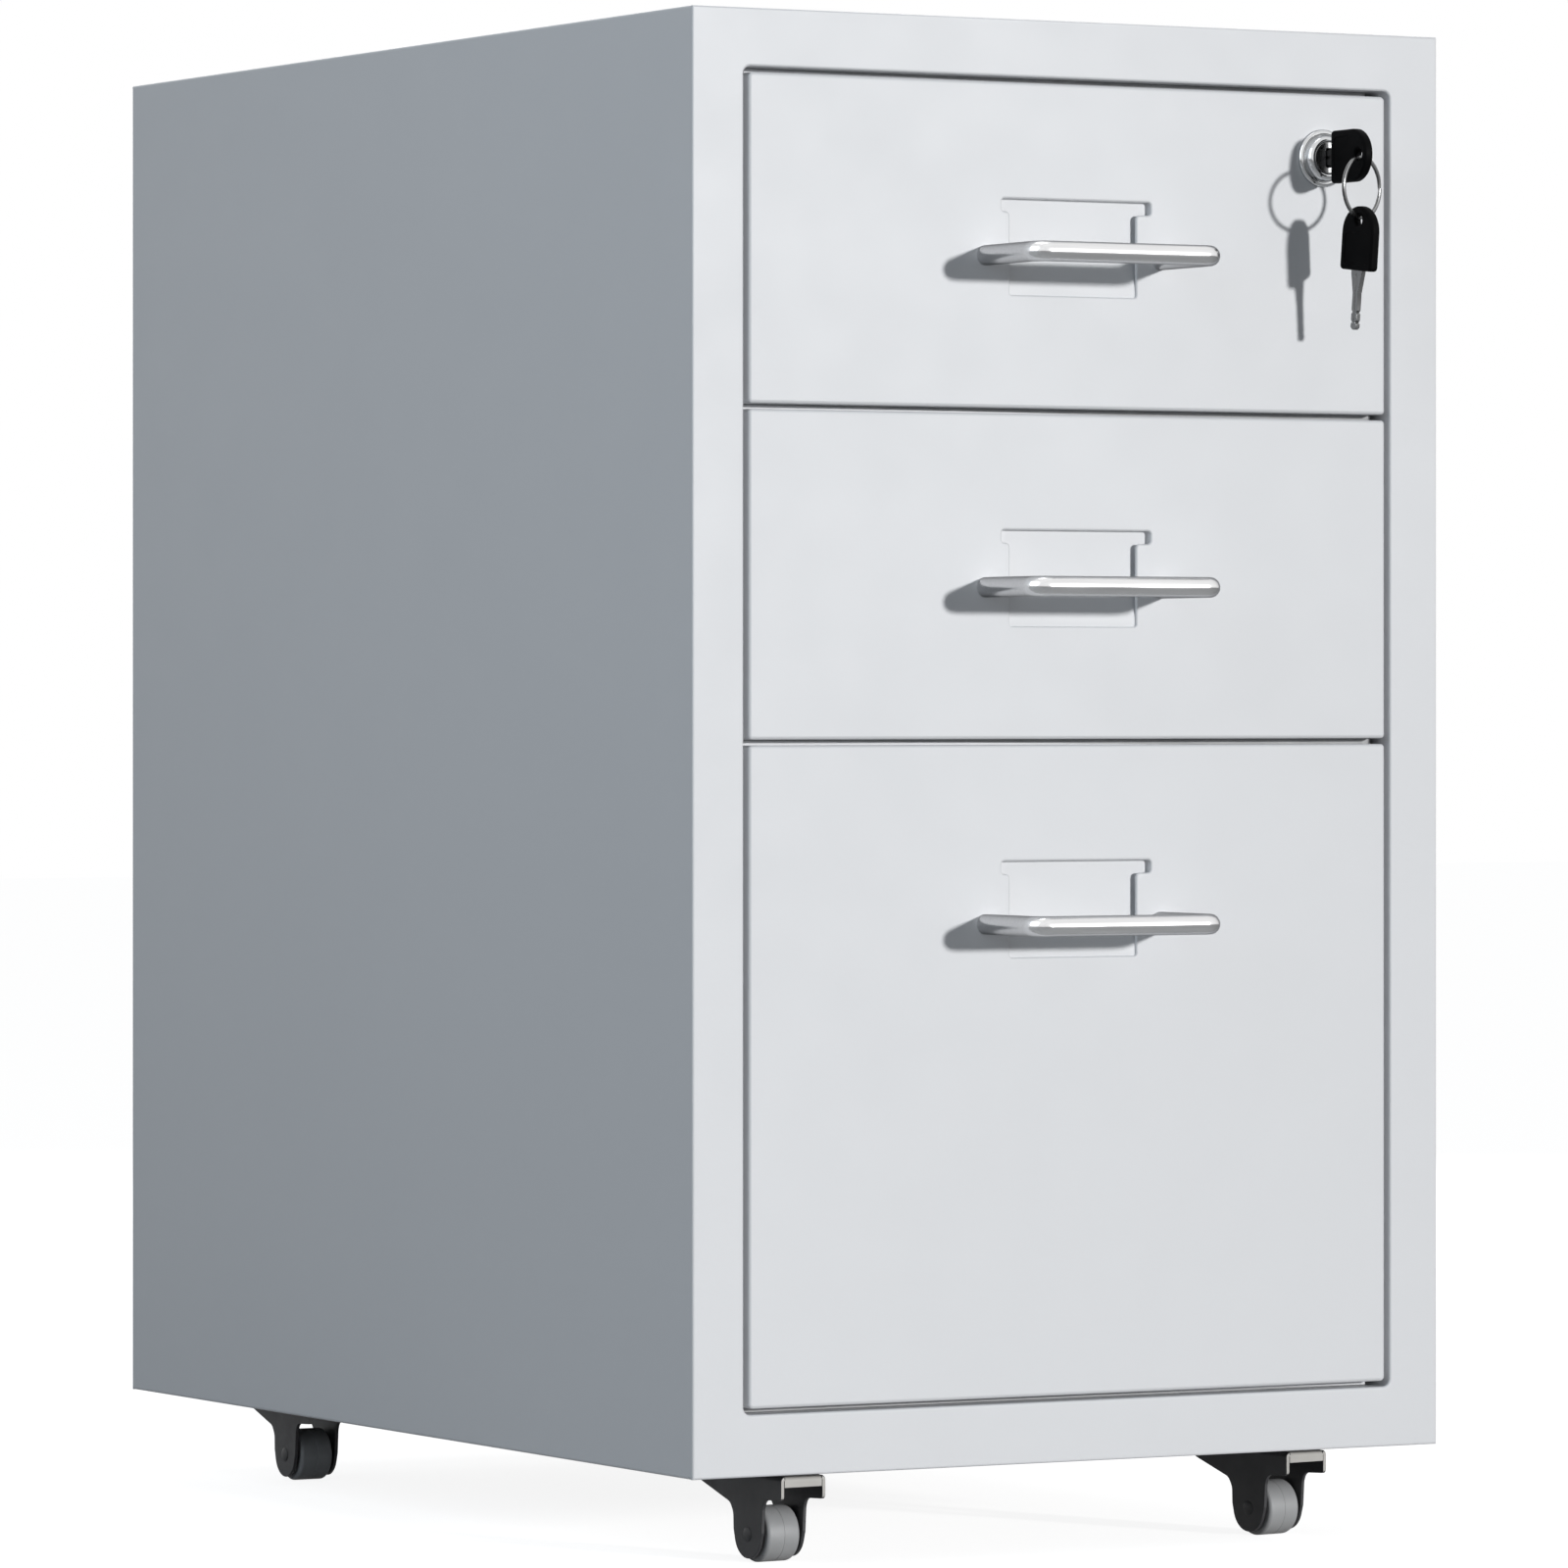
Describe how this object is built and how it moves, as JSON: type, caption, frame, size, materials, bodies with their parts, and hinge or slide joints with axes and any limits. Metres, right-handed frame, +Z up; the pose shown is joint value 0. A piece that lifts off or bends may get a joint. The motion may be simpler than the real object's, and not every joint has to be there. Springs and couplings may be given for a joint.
{
  "type": "rolling pedestal cabinet",
  "caption": "Slim steel under-desk pedestal on swivel castors, with box drawers over a file drawer, rod handles, label pockets and a key lock",
  "frame": {"origin": "on the floor, at the centre of the overall width and depth", "axes": "+Z up, +Y towards the back, +X to the right as seen from the front; the drawers open towards -Y"},
  "size_m": [0.34, 0.5544, 0.602],
  "materials": {
    "cabinet_paint": "pale cool grey powder coat, fine satin texture",
    "inner_paint": "pale grey powder coat inside",
    "zinc_steel": "bright zinc-plated steel",
    "handle_steel": "satin steel rod",
    "chrome": "polished chrome",
    "fork_metal": "dark grey semi-gloss lacquer",
    "wheel_plastic": "light grey hard plastic",
    "black_plastic": "black moulded plastic",
    "guide_plastic": "black nylon"
  },
  "bodies": {
    "carcass": {"front_frame": "cabinet_paint", "left_side_panel": "cabinet_paint", "right_side_panel": "cabinet_paint", "top_panel": "cabinet_paint", "back_panel": "cabinet_paint", "base_panel": "cabinet_paint", "left_slide_posts": "inner_paint", "right_slide_posts": "inner_paint", "lock_bar_guides": "guide_plastic", "upper_cabinet_rails": "zinc_steel", "middle_cabinet_rails": "zinc_steel", "lower_cabinet_rails": "zinc_steel", "castor_plates": "zinc_steel", "castor_screws": "zinc_steel"},
    "lock_bar": {"lock_bar": "zinc_steel", "lock_bar_hooks": "zinc_steel"},
    "upper_slides": {"upper_sliding_rails": "zinc_steel"},
    "upper_drawer": {"upper_drawer_front": "cabinet_paint", "upper_tray": "inner_paint", "upper_label_pocket": "cabinet_paint", "upper_handle": "handle_steel", "upper_handle_screws": "zinc_steel", "upper_drawer_rails": "zinc_steel", "lock_housing": "chrome", "lock_nut": "zinc_steel"},
    "middle_slides": {"middle_sliding_rails": "zinc_steel"},
    "middle_drawer": {"middle_drawer_front": "cabinet_paint", "middle_tray": "inner_paint", "middle_label_pocket": "cabinet_paint", "middle_handle": "handle_steel", "middle_handle_screws": "zinc_steel", "middle_drawer_rails": "zinc_steel"},
    "lower_slides": {"lower_sliding_rails": "zinc_steel"},
    "lower_drawer": {"lower_drawer_front": "cabinet_paint", "lower_tray": "inner_paint", "lower_label_pocket": "cabinet_paint", "lower_handle": "handle_steel", "lower_handle_screws": "zinc_steel", "lower_drawer_rails": "zinc_steel", "file_bars": "zinc_steel"},
    "key_and_plug": {"lock_plug": "chrome", "lock_cam": "zinc_steel", "lock_cam_screw": "zinc_steel", "key_blade": "chrome", "key_bow": "black_plastic"},
    "key_ring": {"key_ring": "chrome"},
    "spare_key": {"spare_key_blade": "chrome", "spare_key_bow": "black_plastic"},
    "front_left_castor": {"front_left_fork": "fork_metal", "front_left_axle": "fork_metal"},
    "front_left_wheel": {"front_left_wheel": "wheel_plastic"},
    "front_right_castor": {"front_right_fork": "fork_metal", "front_right_axle": "fork_metal"},
    "front_right_wheel": {"front_right_wheel": "wheel_plastic"},
    "rear_left_castor": {"rear_left_fork": "fork_metal", "rear_left_axle": "fork_metal"},
    "rear_left_wheel": {"rear_left_wheel": "wheel_plastic"},
    "rear_right_castor": {"rear_right_fork": "fork_metal", "rear_right_axle": "fork_metal"},
    "rear_right_wheel": {"rear_right_wheel": "wheel_plastic"}
  },
  "joints": [
    {"name": "upper_drawer_slide", "type": "slide", "parent": "carcass", "child": "upper_drawer", "axis": [0, -1, 0], "range_m": [0, 0.4]},
    {"name": "upper_slide_run", "type": "slide", "parent": "carcass", "child": "upper_slides", "axis": [0, -1, 0], "range_m": [0, 0.2]},
    {"name": "middle_drawer_slide", "type": "slide", "parent": "carcass", "child": "middle_drawer", "axis": [0, -1, 0], "range_m": [0, 0.4]},
    {"name": "middle_slide_run", "type": "slide", "parent": "carcass", "child": "middle_slides", "axis": [0, -1, 0], "range_m": [0, 0.2]},
    {"name": "lower_drawer_slide", "type": "slide", "parent": "carcass", "child": "lower_drawer", "axis": [0, -1, 0], "range_m": [0, 0.4]},
    {"name": "lower_slide_run", "type": "slide", "parent": "carcass", "child": "lower_slides", "axis": [0, -1, 0], "range_m": [0, 0.2]},
    {"name": "key_turn", "type": "hinge", "parent": "upper_drawer", "child": "key_and_plug", "pos_m": [0.1156, -0.23275, 0.5517], "axis": [0, -1, 0], "range_deg": [0, 90]},
    {"name": "lock_bar_lift", "type": "slide", "parent": "carcass", "child": "lock_bar", "axis": [0, 0, 1], "range_m": [0, 0.01]},
    {"name": "key_ring_swing", "type": "hinge", "parent": "key_and_plug", "child": "key_ring", "pos_m": [0.1156, -0.26165, 0.5507], "axis": [0.9336, 0.3584, 0], "range_deg": [-60, 12]},
    {"name": "spare_key_swing", "type": "hinge", "parent": "key_ring", "child": "spare_key", "pos_m": [0.1156, -0.26165, 0.5268], "axis": [0.9336, 0.3584, 0], "range_deg": [-25, 8]},
    {"name": "front_left_swivel", "type": "hinge", "parent": "carcass", "child": "front_left_castor", "pos_m": [-0.1145, -0.18775, 0.0352], "axis": [0, 0, 1], "continuous": true},
    {"name": "front_left_wheel_spin", "type": "hinge", "parent": "front_left_castor", "child": "front_left_wheel", "pos_m": [-0.1142, -0.19274, 0.011], "axis": [0.9981, 0.061, 0], "continuous": true},
    {"name": "front_right_swivel", "type": "hinge", "parent": "carcass", "child": "front_right_castor", "pos_m": [0.1145, -0.18775, 0.0352], "axis": [0, 0, 1], "continuous": true},
    {"name": "front_right_wheel_spin", "type": "hinge", "parent": "front_right_castor", "child": "front_right_wheel", "pos_m": [0.11511, -0.19271, 0.011], "axis": [0.9925, 0.1219, 0], "continuous": true},
    {"name": "rear_left_swivel", "type": "hinge", "parent": "carcass", "child": "rear_left_castor", "pos_m": [-0.1145, 0.22425, 0.0352], "axis": [0, 0, 1], "continuous": true},
    {"name": "rear_left_wheel_spin", "type": "hinge", "parent": "rear_left_castor", "child": "rear_left_wheel", "pos_m": [-0.1145, 0.21925, 0.011], "axis": [1, 0, 0], "continuous": true},
    {"name": "rear_right_swivel", "type": "hinge", "parent": "carcass", "child": "rear_right_castor", "pos_m": [0.1145, 0.22425, 0.0352], "axis": [0, 0, 1], "continuous": true},
    {"name": "rear_right_wheel_spin", "type": "hinge", "parent": "rear_right_castor", "child": "rear_right_wheel", "pos_m": [0.1145, 0.21925, 0.011], "axis": [1, 0, 0], "continuous": true}
  ],
  "couplings": [
    {"joint": "upper_slide_run", "follows": "upper_drawer_slide", "ratio": 0.5},
    {"joint": "middle_slide_run", "follows": "middle_drawer_slide", "ratio": 0.5},
    {"joint": "lower_slide_run", "follows": "lower_drawer_slide", "ratio": 0.5},
    {"joint": "lock_bar_lift", "follows": "key_turn", "m_per_rad": 0.006366}
  ]
}
